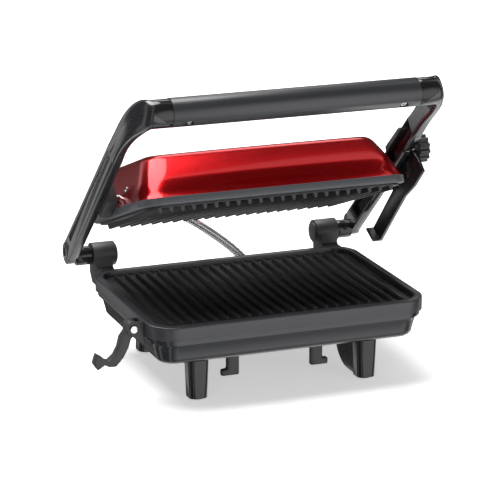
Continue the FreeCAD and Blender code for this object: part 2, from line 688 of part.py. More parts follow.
def make_arm(label, way):
    """A channel section, open inwards, with a long groove along its outer face."""
    body = new_piece(label, place_on_handle)
    low_x = arm_inner if way > 0 else -arm_outer
    inner_start = arm_inner if way > 0 else -arm_inner - s.arm_thick + s.channel_web
    outer_start = arm_outer - s.groove_depth if way > 0 else -arm_outer
    block(body, "X", low_x, s.arm_thick, -s.arm_length, 0.0, arm_low, arm_high)
    rod(body, "X", low_x, s.arm_thick, 0.0, s.arm_rise, s.arm_end_radius)
    sketch = new_sketch(body, "X", inner_start)
    rectangle(sketch, -s.arm_length, -s.channel_start, arm_low + s.channel_wall, arm_high - s.channel_wall)
    cut(body, sketch, "X", s.arm_thick - s.channel_web)
    sketch = new_sketch(body, "X", outer_start)
    rectangle(sketch, s.groove_end - s.arm_length, -s.groove_start, s.groove_rise - s.groove_width / 2,
              s.groove_rise + s.groove_width / 2)
    cut(body, sketch, "X", s.groove_depth)
    bore(body, "X", outer_start, s.groove_depth, 1.0, s.arm_rise + 1, 6.0)
    if way > 0:
        bore(body, "X", arm_inner, s.arm_thick, -s.knob_reach, s.knob_rise, s.stud_radius)


def make_hub(label, way):
    """The boss that spaces an arm off its post and holds the hinge pin."""
    body = new_piece(label, place_on_handle)
    start = barrel_outer + s.joint_gap
    length = arm_inner - start
    low = start if way > 0 else -arm_inner
    rod(body, "X", low, length, 0.0, 0.0, s.hub_radius)
    pin_length = length - s.pin_end
    bore(body, "X", low if way > 0 else -start - pin_length, pin_length, 0.0, 0.0, s.pin_radius)


def make_hinge_pin(label, way):
    body = new_piece(label, place_on_handle)
    start = barrel_inner + s.cap_depth + s.joint_gap
    end = arm_inner - s.pin_end
    rod(body, "X", start if way > 0 else -end, end - start, 0.0, 0.0, s.pin_radius)


def superellipse(middle, across, half_across, half_up, power):
    """A closed smooth outline in the plane of 'across' and local Z."""
    points = []
    count = 24
    for number in range(count):
        angle = 2 * math.pi * number / count
        cos_part, sin_part = math.cos(angle), math.sin(angle)
        reach_across = math.copysign(abs(cos_part) ** (2 / power), cos_part) * half_across
        reach_up = math.copysign(abs(sin_part) ** (2 / power), sin_part) * half_up
        points.append(middle + across * reach_across + Vector(0, 0, reach_up))
    curve = Part.BSplineCurve()
    curve.interpolate(points, PeriodicFlag=True)
    return Part.Wire([curve.toShape()])


def make_elbow(label, way):
    """Laps the arm's flat end, swells as it turns inwards, and ends as the collar's circle."""
    collar_end, lap = (grip_half + s.collar_length).number, s.elbow_lap.number
    outer_start, inner_start = arm_outer.number + lap, arm_inner.number - lap
    arm_end, rise, drop = s.arm_length.number, s.arm_rise.number, s.grip_drop.number
    bend_start, reach, radius = s.elbow_start.number, s.grip_reach.number, s.collar_radius.number
    top_start, top_end = rise + s.arm_depth.number / 2 + lap, radius - drop
    low_start, low_end = rise - s.arm_depth.number / 2 - lap, -radius - drop
    outer_reach, inner_reach = reach + radius - bend_start, reach - radius - bend_start
    wires = []

    def section(inner, outer, top, low, power):
        middle = (inner + outer) * 0.5
        middle.z = (top + low) / 2
        half_across = (outer - inner).Length / 2
        wires.append(superellipse(middle, (outer - inner).normalize(), half_across, (top - low) / 2, power))

    start_points = Vector(way * inner_start, -arm_end, 0), Vector(way * outer_start, -arm_end, 0)
    section(*start_points, top_start, low_start, 9.0)
    for degrees, power in ((0, 5.0), (20, 4.0), (40, 3.2), (60, 2.6), (76, 2.2), (90, 2.0)):
        turn_angle = math.radians(degrees)
        across, along = math.cos(turn_angle), math.sin(turn_angle)
        outer_x = collar_end + (outer_start - collar_end) * across
        inner_x = collar_end + (inner_start - collar_end) * across
        outer = Vector(way * outer_x, -bend_start - outer_reach * along, 0)
        inner = Vector(way * inner_x, -bend_start - inner_reach * along, 0)
        swell = s.elbow_swell.number * math.sin(2 * turn_angle)
        top = top_start + (top_end - top_start) * along ** 6 + swell
        low = low_start + (low_end - low_start) * along ** 1.5 - swell / 2
        section(inner, outer, top, low, power)
    piece = doc.addObject("Part::Feature", label)
    piece.Label = label
    shape = Part.makeLoft(wires, True, False)
    if shape.Volume < 0:
        shape.reverse()
    piece.Shape = shape
    place_on_handle(piece)
    PIECES.append(piece)


def make_collar(label, way):
    body = new_piece(label, place_on_handle)
    low = grip_half if way > 0 else -grip_half - s.collar_length
    rod(body, "X", low, s.collar_length, -s.grip_reach, -s.grip_drop, s.collar_radius)
    bore(body, "X", low, s.collar_length, -s.grip_reach, -s.grip_drop, s.core_radius)


def make_grip():
    body = new_piece("grip", place_on_handle)
    rod(body, "X", -grip_half, 2 * grip_half, -s.grip_reach, -s.grip_drop, s.grip_radius)
    bore(body, "X", -grip_half, 2 * grip_half, -s.grip_reach, -s.grip_drop, s.core_radius)
    for way in (-1, 1):
        bore(body, "Z", -s.grip_drop - s.grip_radius, s.well_depth, way * grip_screw_x, -s.grip_reach, s.screw_well)


def make_grip_core():
    body = new_piece("grip_core", place_on_handle)
    half = grip_half + s.collar_length
    rod(body, "X", -half, 2 * half, -s.grip_reach, -s.grip_drop, s.core_radius)
    bore(body, "X", -half, 2 * half, -s.grip_reach, -s.grip_drop, s.core_radius - s.core_wall)


def make_grip_screws():
    body = new_piece("grip_screws", place_on_handle)
    for way in (-1, 1):
        rod(body, "Z", -s.grip_drop - s.grip_radius + s.well_depth - s.grip_screw_height, s.grip_screw_height,
            way * grip_screw_x, -s.grip_reach, s.grip_screw_radius)


block_inner = lid_width / 2 + s.block_gap


def make_pivot_block(label, way):
    """The ribbed block between an arm and the lid's side, which carries the lid's pivot pin."""
    body = new_piece(label, place_on_handle)
    width = arm_inner - block_inner
    low = block_inner if way > 0 else -arm_inner
    half = s.block_length / 2
    high = s.arm_rise + s.arm_depth / 2 - s.block_top_set
    block(body, "X", low, width, -lid_reach - half, -lid_reach + half, high - s.block_depth, high)
    pin_low = block_inner if way > 0 else -arm_inner + s.pivot_end
    bore(body, "X", pin_low, width - s.pivot_end, -lid_reach, 0.0, s.pivot_radius)


def lid_side_at(height):
    """Half the dome's width at a height above its seat."""
    return lid_width / 2 - s.dome_seat - s.dome_side_set * height / s.dome_height


def make_pivot_pin(label, way):
    body = new_piece(label, place_on_handle)
    end = arm_inner - s.pivot_end
    start = lid_side_at(s.trim_drop) - s.dome_wall - s.boss_length + 1.0
    rod(body, "X", start if way > 0 else -end, end - start, -lid_reach, 0.0, s.pivot_radius)


def make_knob_stud():
    body = new_piece("knob_stud", place_on_handle)
    start = arm_outer - s.channel_web
    end = arm_outer + s.stay_gap + s.stay_thick + s.knob_back_gap + s.knob_length - 4.0
    rod(body, "X", start, end - start, -s.knob_reach, s.knob_rise, s.stud_radius)


# ---------------------------------------------------------------- height stay and knob

stay_low = arm_outer + s.stay_gap
knob_low = stay_low + s.stay_thick + s.knob_back_gap


def make_height_stay():
    """A boomerang plate outside the right arm: a broad head under the knob, a long strap and a turned-in foot."""
    body = new_piece("height_stay", place_on_handle)
    reach, rise = s.knob_reach, s.knob_rise
    outline = [(16.0, 34.5), (-5.5, -15.0), (-8.0, -30.5), (22.0, -32.0), (50.0, -29.0), (138.0, -36.0),
               (146.0, -17.0), (72.0, -10.0), (59.0, 35.5)]
    sketch = new_sketch(body, "X", stay_low)
    polygon(sketch, [(back - reach, rise + up) for back, up in outline])
    pad(body, sketch, "X", s.stay_thick)
    sketch = new_sketch(body, "X", stay_low - s.stay_foot)
    foot = [(138.0, -36.0), (146.0, -17.0), (143.2, -16.6), (135.2, -35.8)]
    polygon(sketch, [(back - reach, rise + up) for back, up in foot])
    pad(body, sketch, "X", s.stay_foot)
    bore(body, "X", stay_low, s.stay_thick, -reach, rise, s.stud_radius + s.pin_gap)
    bore(body, "X", stay_low, s.stay_thick, s.rivet_back - reach, rise - s.rivet_drop, s.stud_radius)


def make_stay_rivet():
    body = new_piece("stay_rivet", place_on_handle)
    along, up = s.rivet_back - s.knob_reach, s.knob_rise - s.rivet_drop
    rod(body, "X", stay_low, s.stay_thick, along, up, s.stud_radius)
    rod(body, "X", stay_low + s.stay_thick, s.rivet_lip, along, up, s.stud_radius + s.rivet_lip)


def make_height_knob():
    body = new_piece("height_knob", place_on_handle)
    rod(body, "X", knob_low, s.knob_length, -s.knob_reach, s.knob_rise, s.knob_radius)
    rod(body, "X", knob_low + s.knob_length, s.knob_cap_height, -s.knob_reach, s.knob_rise, s.knob_cap_radius)
    for number in range(int(s.knob_flutes.number)):
        angle = sized(360.0 * number) / s.knob_flutes
        bore(body, "X", knob_low, s.knob_length, s.knob_radius * cosine(angle) - s.knob_reach,
             s.knob_radius * sine(angle) + s.knob_rise, s.flute_radius)
    bore(body, "X", knob_low, s.knob_length - 3.0, -s.knob_reach, s.knob_rise, s.stud_radius + s.pin_gap)


# ---------------------------------------------------------------- lid

trim_top = -s.trim_drop
trim_bottom = trim_top - s.trim_height
upper_slab_bottom = trim_bottom - s.upper_plate_drop


def dome_sections(wall):
    """A straight slope, then a quarter round into the crown, all drawn in by a wall."""
    inward = 2.6 * wall
    rise = s.dome_height - s.dome_round
    width, depth = lid_width - 2 * s.dome_seat - inward, lid_depth - 2 * s.dome_seat - inward
    corner = s.lid_corner - s.dome_seat
    sections = [(trim_top - wall, width, depth, corner)]
    for run, share in quarter_round():
        height = rise + s.dome_round * share
        slope = height / s.dome_height
        inset = s.dome_round * run
        sections.append((trim_top + height - wall, width - 2 * (s.dome_side_set * slope + inset),
                         depth - 2 * (s.dome_front_set * slope + inset), corner - inset * 0.6))
    return sections


def make_lid_shell():
    """A hollow dome with sloping sides, holed at both sides for the pivots."""
    body = new_piece("lid_shell", place_on_lid)
    loft(body, "Additive", dome_sections(sized(0.0)))
    loft(body, "Subtractive", dome_sections(s.dome_wall))
    bore(body, "Y", lid_gland_face - s.lid_ferrule_length, s.lid_ferrule_length, -s.lid_conduit_x,
         s.lid_conduit_z, s.ferrule_radius)
    for way in (-1, 1):
        low = lid_width / 2 - 14 if way > 0 else -lid_width / 2
        bore(body, "X", low, 14.0, 0.0, 0.0, s.pivot_radius + s.pin_gap)


def make_lid_trim():
    body = new_piece("lid_trim", place_on_lid)
    plate(body, trim_bottom, s.trim_height, lid_width, lid_depth, s.lid_corner)
    opening(body, trim_bottom, s.trim_height, lid_width - 2 * s.trim_wall, lid_depth - 2 * s.trim_wall,
            s.lid_corner - s.trim_wall)
    half_x, half_y = lid_width / 2 - s.trim_wall / 2, lid_depth / 2 - s.trim_wall / 2
    round_edges(body, s.trim_round, lambda edge: at_level(edge, "Z", trim_bottom) and far_out(edge, half_x, half_y))


def make_upper_grill_plate():
    body = new_piece("upper_grill_plate", place_on_lid)
    width, depth = lid_width - 2 * s.upper_plate_inset, lid_depth - 2 * s.upper_plate_inset
    plate(body, upper_slab_bottom, trim_bottom - upper_slab_bottom, width, depth,
          s.lid_corner - s.upper_plate_inset)
    add_ribs(body, upper_slab_bottom, -s.upper_rib_height, depth, s.upper_rib_margin)


def make_lid_boss(label, way):
    """The bearing inside the lid's side wall that turns on the pivot pin."""
    body = new_piece(label, place_on_lid)
    outer = lid_side_at(s.trim_drop + s.boss_radius) - s.dome_wall * 1.8
    low = outer - s.boss_length if way > 0 else -outer
    rod(body, "X", low, s.boss_length, 0.0, 0.0, s.boss_radius)
    bore(body, "X", low, s.boss_length, 0.0, 0.0, s.pivot_radius + s.pin_gap)


def make_lid_side_screws():
    """A small screw on each side wall of the dome, ahead of the pivots."""
    body = new_piece("lid_side_screws", place_on_lid)
    outer = lid_side_at(s.side_screw_rise - s.side_screw_radius)
    for way in (-1, 1):
        low = outer if way > 0 else -outer - s.side_screw_height
        rod(body, "X", low, s.side_screw_height, -s.side_screw_set, trim_top + s.side_screw_rise,
            s.side_screw_radius)


# ---------------------------------------------------------------- conduit

CONDUIT_ROUTE = [(50, 110, 52), (50, 124, 52), (41, 133, 65), (24, 134, 83), (2, 132, 101),
                 (-20, 131, 117), (-42, 133, 131), (-61, 136, 142), (-70, 129.7, 149.3), (-70, 118.6, 153.3)]


def tangent_route(points):
    """Straight runs joined by tangent arcs, each as large as its two runs allow."""
    points = [Vector(*point) for point in points]
    edges, last = [], points[0]
    for before, corner, after in zip(points, points[1:], points[2:]):
        back, ahead = (before - corner), (after - corner)
        trim = 0.45 * min(back.Length, ahead.Length)
        back.normalize()
        ahead.normalize()
        start, end = corner + back * trim, corner + ahead * trim
        half_turn = (math.pi - back.getAngle(ahead)) / 2
        radius = trim / math.tan(half_turn)
        middle = corner + (back + ahead).normalize() * (radius / math.cos(half_turn) - radius)
        edges.append(Part.LineSegment(last, start).toShape())
        edges.append(Part.Arc(start, middle, end).toShape())
        print(f"conduit bend radius {radius:.1f}")
        last = end
    edges.append(Part.LineSegment(last, points[-1]).toShape())
    return Part.Wire(edges)


def make_conduit():
    radius = float(sheet.get("conduit_radius"))
    path = tangent_route(CONDUIT_ROUTE)
    heading = path.Edges[0].tangentAt(path.Edges[0].FirstParameter)
    ring = Part.Wire([Part.makeCircle(radius, Vector(*CONDUIT_ROUTE[0]), heading)])
    shape = path.makePipeShell([ring], True, False)
    expected = math.pi * radius ** 2 * path.Length
    if abs(shape.Volume / expected - 1) > 0.02:
        raise RuntimeError("the conduit's tube is not as long as its path")
    piece = doc.addObject("Part::Feature", "conduit")
    piece.Label = "conduit"
    piece.Shape = shape
    place_on_base(piece)
    PIECES.append(piece)


def make_base_ferrule():
    """A collar through the tub's rear wall, where the conduit starts."""
    body = new_piece("base_ferrule", place_on_base)
    rod(body, "Y", gland_face - s.ferrule_length, s.ferrule_length, s.conduit_x, s.conduit_z, s.ferrule_radius)
    rod(body, "Y", tub_depth / 2 - s.neck_length, s.neck_length, s.conduit_x, s.conduit_z, s.neck_radius)


def make_lid_ferrule():
    """The same collar in the dome's rear wall, where the conduit ends."""
    body = new_piece("lid_ferrule", place_on_lid)
    rod(body, "Y", lid_gland_face - s.lid_ferrule_length, s.lid_ferrule_length, -s.lid_conduit_x,
        s.lid_conduit_z, s.ferrule_radius)


# ---------------------------------------------------------------- assembly

make_base_rim()
make_base_tub()
make_bottom_cover()
make_cover_screws()
make_front_leg("left_front_leg", -left_leg_x, 1)
make_front_leg("right_front_leg", right_leg_x, -1)
make_rear_leg("left_rear_leg", -left_leg_x)
make_rear_leg("right_rear_leg", right_leg_x)
make_foot_pads()
make_cord_hook("left_cord_hook", -s.left_hook_x, -1)
make_cord_hook("right_cord_hook", s.right_hook_x, 1)
make_lower_grill_plate()
make_u_heater("lower_heater", place_on_base, slab_bottom - s.heater_radius)
make_reflector("lower_reflector", place_on_base, step_bottom - 4, True)
make_small_base_parts()
make_cord_inlet()
make_hinge_caps()
make_latch_bracket()
make_latch_bolt()
make_latch()
make_grip()
make_grip_core()
make_grip_screws()
make_knob_stud()
make_height_stay()
make_stay_rivet()
make_height_knob()
make_lid_shell()
make_lid_trim()
make_upper_grill_plate()
make_u_heater("upper_heater", place_on_lid, trim_bottom + s.heater_radius)
make_reflector("upper_reflector", place_on_lid, trim_bottom + 2 * s.heater_radius + 12, False)
make_lid_side_screws()
make_conduit()
make_base_ferrule()
make_lid_ferrule()
for side, way in (("left", -1), ("right", 1)):
    make_hinge_post(f"{side}_hinge_post", way)
    make_arm(f"{side}_arm", way)
    make_hub(f"{side}_hub", way)
    make_hinge_pin(f"{side}_hinge_pin", way)
    make_elbow(f"{side}_elbow", way)
    make_collar(f"{side}_collar", way)
    make_pivot_block(f"{side}_pivot_block", way)
    make_pivot_pin(f"{side}_pivot_pin", way)
    make_lid_boss(f"{side}_lid_boss", way)

doc.recompute()
for thing in doc.Objects:
    if "Invalid" in thing.State or "Error" in thing.State:
        raise RuntimeError(f"{thing.Label} failed: {thing.State}")
os.makedirs("parts", exist_ok=True)
for piece in PIECES:
    if piece.Shape.isNull() or not piece.Shape.isValid():
        raise RuntimeError(f"{piece.Label} has no valid shape")
    piece.Shape.exportStep(f"parts/{piece.Label}.step")
print(f"{len(PIECES)} pieces")
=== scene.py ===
import json
import math

import bpy
from mathutils import Matrix, Vector


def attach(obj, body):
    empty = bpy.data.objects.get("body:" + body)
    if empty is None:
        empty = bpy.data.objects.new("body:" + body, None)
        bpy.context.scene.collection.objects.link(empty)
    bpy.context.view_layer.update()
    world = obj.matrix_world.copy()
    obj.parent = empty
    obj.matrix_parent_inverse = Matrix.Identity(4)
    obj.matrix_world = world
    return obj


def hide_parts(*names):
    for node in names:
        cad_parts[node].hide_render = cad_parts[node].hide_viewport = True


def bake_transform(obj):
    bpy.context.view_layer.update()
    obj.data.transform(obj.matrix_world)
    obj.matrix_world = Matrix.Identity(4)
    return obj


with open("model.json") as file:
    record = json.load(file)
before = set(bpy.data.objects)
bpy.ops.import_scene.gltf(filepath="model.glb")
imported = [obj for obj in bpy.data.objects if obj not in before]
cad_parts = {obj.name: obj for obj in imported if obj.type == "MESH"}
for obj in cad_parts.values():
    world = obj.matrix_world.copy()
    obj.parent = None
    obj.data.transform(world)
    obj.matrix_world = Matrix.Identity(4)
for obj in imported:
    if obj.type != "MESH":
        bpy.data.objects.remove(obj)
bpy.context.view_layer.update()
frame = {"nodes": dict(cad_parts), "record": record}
record = frame["record"]


# ---------------------------------------------------------------- shader groups

def new_group(name, inputs, outputs):
    group = bpy.data.node_groups.new(name, "ShaderNodeTree")
    for label, kind, value in inputs:
        socket = group.interface.new_socket(label, in_out="INPUT", socket_type=kind)
        if value is not None:
            socket.default_value = value
    for label, kind in outputs:
        group.interface.new_socket(label, in_out="OUTPUT", socket_type=kind)
    return group, group.nodes.new("NodeGroupInput"), group.nodes.new("NodeGroupOutput")


def math_node(tree, operation, first, second, clamp=False):
    node = tree.nodes.new("ShaderNodeMath")
    node.operation = operation
    node.use_clamp = clamp
    for socket, value in zip(node.inputs, (first, second)):
        if isinstance(value, (int, float)):
            socket.default_value = value
        else:
            tree.links.new(value, socket)
    return node.outputs["Value"]


def noise_node(tree, place, scale, detail=2.0, roughness=0.5):
    node = tree.nodes.new("ShaderNodeTexNoise")
    node.inputs["Detail"].default_value = detail
    node.inputs["Roughness"].default_value = roughness
    tree.links.new(place, node.inputs["Vector"])
    if isinstance(scale, (int, float)):
        node.inputs["Scale"].default_value = scale
    else:
        tree.links.new(scale, node.inputs["Scale"])
    return node.outputs["Fac"]


def surface_group():
    """Fine grain, faint smudges and a little dust, for every finish on the press."""
    inputs = [
        ("Color", "NodeSocketColor", (0.1, 0.1, 0.1, 1.0)),
        ("Dust Color", "NodeSocketColor", (0.35, 0.34, 0.33, 1.0)),
        ("Roughness", "NodeSocketFloat", 0.3),
        ("Grain Scale", "NodeSocketFloat", 900.0),
        ("Grain Depth", "NodeSocketFloat", 0.1),
        ("Smudge", "NodeSocketFloat", 0.08),
        ("Dust", "NodeSocketFloat", 0.03),
    ]
    outputs = [
        ("Color", "NodeSocketColor"),
        ("Roughness", "NodeSocketFloat"),
        ("Normal", "NodeSocketVector"),
    ]
    group, given, result = new_group("surface", inputs, outputs)
    place = group.nodes.new("ShaderNodeTexCoord").outputs["Object"]
    grain = noise_node(group, place, given.outputs["Grain Scale"], 3.0, 0.6)
    smudge = noise_node(group, place, 18.0, 4.0, 0.55)
    speck = noise_node(group, place, 420.0, 2.0, 0.5)

    centred = math_node(group, "SUBTRACT", smudge, 0.5)
    rough_change = math_node(group, "MULTIPLY", centred, given.outputs["Smudge"])
    rough_swing = math_node(group, "MULTIPLY", rough_change, 2.0)
    rough_sum = math_node(group, "ADD", given.outputs["Roughness"], rough_swing)
    group.links.new(math_node(group, "MAXIMUM", rough_sum, 0.02), result.inputs["Roughness"])

    patches = math_node(group, "MULTIPLY", speck, smudge)
    dust = math_node(group, "MULTIPLY", patches, given.outputs["Dust"])
    blend = group.nodes.new("ShaderNodeMix")
    blend.data_type = "RGBA"
    group.links.new(math_node(group, "MULTIPLY", dust, 2.0), blend.inputs["Factor"])
    group.links.new(given.outputs["Color"], blend.inputs["A"])
    group.links.new(given.outputs["Dust Color"], blend.inputs["B"])
    group.links.new(blend.outputs["Result"], result.inputs["Color"])

    bump = group.nodes.new("ShaderNodeBump")
    bump.inputs["Distance"].default_value = 0.0002
    group.links.new(given.outputs["Grain Depth"], bump.inputs["Strength"])
    group.links.new(grain, bump.inputs["Height"])
    group.links.new(bump.outputs["Normal"], result.inputs["Normal"])
    return group


SURFACE = surface_group()


def finish(name, color, roughness, grain_scale=900.0, grain_depth=0.1, smudge=0.06, dust=0.02,
           **sockets):
    """A material whose colour, roughness and normal come from the surface group."""
    material = bpy.data.materials.new(name)
    material.use_nodes = True
    tree = material.node_tree
    shader = tree.nodes["Principled BSDF"]
    surface = tree.nodes.new("ShaderNodeGroup")
    surface.node_tree = SURFACE
    surface.location = (-300, 200)
    surface.inputs["Color"].default_value = (*color, 1.0)
    surface.inputs["Roughness"].default_value = roughness
    surface.inputs["Grain Scale"].default_value = grain_scale
    surface.inputs["Grain Depth"].default_value = grain_depth
    surface.inputs["Smudge"].default_value = smudge
    surface.inputs["Dust"].default_value = dust
    tree.links.new(surface.outputs["Color"], shader.inputs["Base Color"])
    tree.links.new(surface.outputs["Roughness"], shader.inputs["Roughness"])
    tree.links.new(surface.outputs["Normal"], shader.inputs["Normal"])
    for label, value in sockets.items():
        shader.inputs[label.replace("_", " ")].default_value = value
    return material


MATERIALS = {
    "charcoal_satin": finish("charcoal_satin", (0.027, 0.028, 0.032), 0.33, 1400.0, 0.08),
    "gloss_black": finish("gloss_black", (0.009, 0.009, 0.010), 0.16, 500.0, 0.03, 0.04,
                          Coat_Weight=0.15, Coat_Roughness=0.05, Specular_IOR_Level=0.35),
    "candy_red": finish("candy_red", (0.50, 0.003, 0.006), 0.22, 2500.0, 0.05, 0.03, 0.0,
                        Metallic=0.88, Coat_Weight=0.35, Coat_Roughness=0.04),
    "grey_trim": finish("grey_trim", (0.060, 0.065, 0.072), 0.34, 1400.0, 0.08),
    "nonstick": finish("nonstick", (0.018, 0.018, 0.020), 0.38, 1100.0, 0.5, 0.1, Metallic=0.2),
    "bright_steel": finish("bright_steel", (0.62, 0.62, 0.63), 0.22, 700.0, 0.08, Metallic=1.0),
    "heater_steel": finish("heater_steel", (0.28, 0.27, 0.26), 0.5, Metallic=1.0),
    "reflector_alu": finish("reflector_alu", (0.7, 0.7, 0.7), 0.35, Metallic=1.0),
    "dark_matte": finish("dark_matte", (0.028, 0.028, 0.030), 0.5, 1200.0, 0.35),
    "foot_rubber": finish("foot_rubber", (0.015, 0.015, 0.015), 0.8, 900.0, 0.5),
    "stay_black": finish("stay_black", (0.012, 0.012, 0.013), 0.28, 800.0, 0.1),
    "ceramic": finish("ceramic", (0.7, 0.67, 0.6), 0.5),
}
TUB_BLACK = finish("tub_black", (0.014, 0.015, 0.018), 0.22, 1400.0, 0.04, 0.04, 0.01,
                   Coat_Weight=0.15, Coat_Roughness=0.08)
HANDLE_BLACK = finish("handle_black", (0.013, 0.014, 0.016), 0.24, 1400.0, 0.04, 0.04, 0.01,
                      Coat_Weight=0.4, Coat_Roughness=0.08)
GLOSSIER = {
    "base_tub": TUB_BLACK,
    "left_arm": HANDLE_BLACK,
    "right_arm": HANDLE_BLACK,
    "left_elbow": HANDLE_BLACK,
    "right_elbow": HANDLE_BLACK,
}

SLOT_OF = {entry["node"]: entry["material_slot"] for entry in record["subparts"]}
BODY_OF = {node: body for body, nodes in record["behaviour"]["bodies"].items() for node in nodes}


def dress(piece, material):
    piece.data.materials.clear()
    piece.data.materials.append(material)


for node, slot in SLOT_OF.items():
    dress(frame["nodes"][node], MATERIALS[slot])


# ---------------------------------------------------------------- making and fitting pieces

def take_up(piece):
    """Makes a piece the only selected and active object."""
    bpy.ops.object.select_all(action="DESELECT")
    piece.select_set(True)
    bpy.context.view_layer.objects.active = piece


def apply_modifier(piece, kind, **settings):
    take_up(piece)
    modifier = piece.modifiers.new(kind.lower(), kind)
    for name, value in settings.items():
        setattr(modifier, name, value)
    bpy.ops.object.modifier_apply(modifier=modifier.name)


def smooth(piece, degrees=35.0):
    take_up(piece)
    bpy.ops.object.shade_smooth_by_angle(angle=math.radians(degrees), keep_sharp_edges=False)


def fit(piece, body, slot, *nodes):
    """Settles a finished piece at the origin, dresses it, ties it to its body and hides the nodes it
    stands in for.
    """
    take_up(piece)
    bpy.ops.object.transform_apply(location=True, rotation=True, scale=True)
    dress(piece, MATERIALS[slot])
    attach(piece, body)
    if nodes:
        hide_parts(*nodes)


def soften(node, radius):
    """Stands in for a sharp-edged node with its edges rounded over."""
    source = frame["nodes"][node]
    piece = bpy.data.objects.new(f"{node}_finish", source.data.copy())
    bpy.context.scene.collection.objects.link(piece)
    take_up(piece)
    bpy.ops.object.mode_set(mode="EDIT")
    bpy.ops.mesh.select_all(action="SELECT")
    bpy.ops.mesh.customdata_custom_splitnormals_clear()
    bpy.ops.mesh.remove_doubles(threshold=2e-5)
    bpy.ops.mesh.dissolve_limited(angle_limit=math.radians(0.6))
    bpy.ops.object.mode_set(mode="OBJECT")
    if radius:
        apply_modifier(piece, "BEVEL", width=radius, segments=2, limit_method="ANGLE",
                       angle_limit=math.radians(32.0), use_clamp_overlap=True, harden_normals=False)
    smooth(piece, 40.0)
    fit(piece, BODY_OF[node], SLOT_OF[node], node)
    if node in GLOSSIER:
        dress(piece, GLOSSIER[node])


# The bevel radius of each node's edges; the elbows are only smoothed.
SOFTENED = {
    "base_rim": 0.0009, "base_tub": 0.0007, "lid_trim": 0.0009, "left_arm": 0.0009, "right_arm": 0.0009,
    "left_elbow": 0.0, "right_elbow": 0.0, "left_front_leg": 0.0006, "right_front_leg": 0.0006,
    "left_rear_leg": 0.0006, "right_rear_leg": 0.0006, "left_cord_hook": 0.002, "right_cord_hook": 0.002,
    "left_hinge_post": 0.0009, "right_hinge_post": 0.0009, "left_pivot_block": 0.0009,
    "right_pivot_block": 0.0009, "latch": 0.0014, "latch_bracket": 0.0006, "latch_bolt": 0.0007,
    "height_stay": 0.0006, "stay_rivet": 0.0009, "height_knob": 0.0007, "grip": 0.0007,
    "lower_grill_plate": 0.0004, "upper_grill_plate": 0.0004, "hinge_caps": 0.0006, "left_hub": 0.0006,
    "right_hub": 0.0006, "left_collar": 0.0004, "right_collar": 0.0004, "base_ferrule": 0.0006,
    "lid_ferrule": 0.0006, "cord_inlet": 0.0006,
}

for node, radius in SOFTENED.items():
    soften(node, radius)


# ---------------------------------------------------------------- the lid's dome

JOINT_PLACE = {joint["name"]: Vector(joint["pos_m"]) for joint in record["behaviour"]["joints"]}
LID_PIVOT = JOINT_PLACE["lid_tilt"]
LID_TIP = math.radians(20.0)

# The dome's outer half width and half depth at its foot, and where its foot sits below the pivot
HALF_WIDTH, HALF_DEPTH = 0.1398, 0.0928
SEAT = -0.0095
# Its height, the radius of its top edge, and how far its walls lean in over that height
RISE, ROUND = 0.045, 0.0065
SIDE_SLOPE, FRONT_SLOPE = 0.017, 0.033
# Its corners' radius at the foot, and how much of it is lost by the top and round the edge
CORNER, CORNER_LOSS, CORNER_EDGE_SHARE = 0.0198, 0.004, 0.6
# How far up its walls the top edge starts to round, and how far up the lip at the foot reaches
WALL_SHARE, LIP_SHARE, LIP_FLARE = 0.72, 0.16, 0.0011
# How far its walls swell: at mid height, sideways and forwards, and at mid length
SIDE_BELLY, FRONT_BELLY, BOW = 0.0008, 0.0018, 0.0050


def lid_place(point):
    """Turns a point of the level lid to where the lid stands open."""
    turned = Matrix.Rotation(-LID_TIP, 4, "X") @ Vector(point)
    return turned + LID_PIVOT


def dome_point(x, y, z):
    """Where a point of a two-unit cube goes on the dome.

    The sides slope in with a faint belly and end in a tight round below the flat top.
    """
    def spread(value):
        return math.sin(value * math.pi / 2)

    level = (z + 1) / 2
    if z < 0.999:
        along = min(level / WALL_SHARE, 1.0)
        over = max(0.0, (level - WALL_SHARE) / (1 - WALL_SHARE))
        height = (RISE - ROUND) * along + ROUND * math.sin(over * math.pi / 2)
        inset = ROUND * (1 - math.cos(over * math.pi / 2))
        flare = LIP_FLARE * max(0.0, 1 - along / LIP_SHARE) ** 2
        belly = 4 * along * (1 - along)
        shrink = 1.0
    else:
        height, inset = RISE, ROUND
        flare, belly = 0.0, 0.0
        shrink = max(abs(x), abs(y))
    slope = height / RISE
    half_x = HALF_WIDTH - SIDE_SLOPE * slope - inset + flare + SIDE_BELLY * belly
    half_y = HALF_DEPTH - FRONT_SLOPE * slope - inset + flare + FRONT_BELLY * belly
    corner = CORNER - CORNER_LOSS * slope - CORNER_EDGE_SHARE * inset
    if shrink < 1.0:
        side = shrink or 1.0
        px, py = spread(x / side), spread(y / side)
    else:
        px, py = spread(x), spread(y)
    px, py = px * half_x, py * half_y
    core_x = max(-half_x + corner, min(half_x - corner, px))
    core_y = max(-half_y + corner, min(half_y - corner, py))
    out = Vector((px - core_x, py - core_y, 0.0))
    if abs(out.x) > 1e-9 and abs(out.y) > 1e-9:
        out = out.normalized() * corner
    px, py = core_x + out.x, core_y + out.y
    bow = min(1.0, 2.5 * slope) * (1 - (px / half_x) ** 2)
    py += math.copysign(BOW * bow * abs(py / half_y), py)
    if shrink < 1.0:
        px, py = px * spread(shrink), py * spread(shrink)
    return lid_place((px, py, SEAT + height))


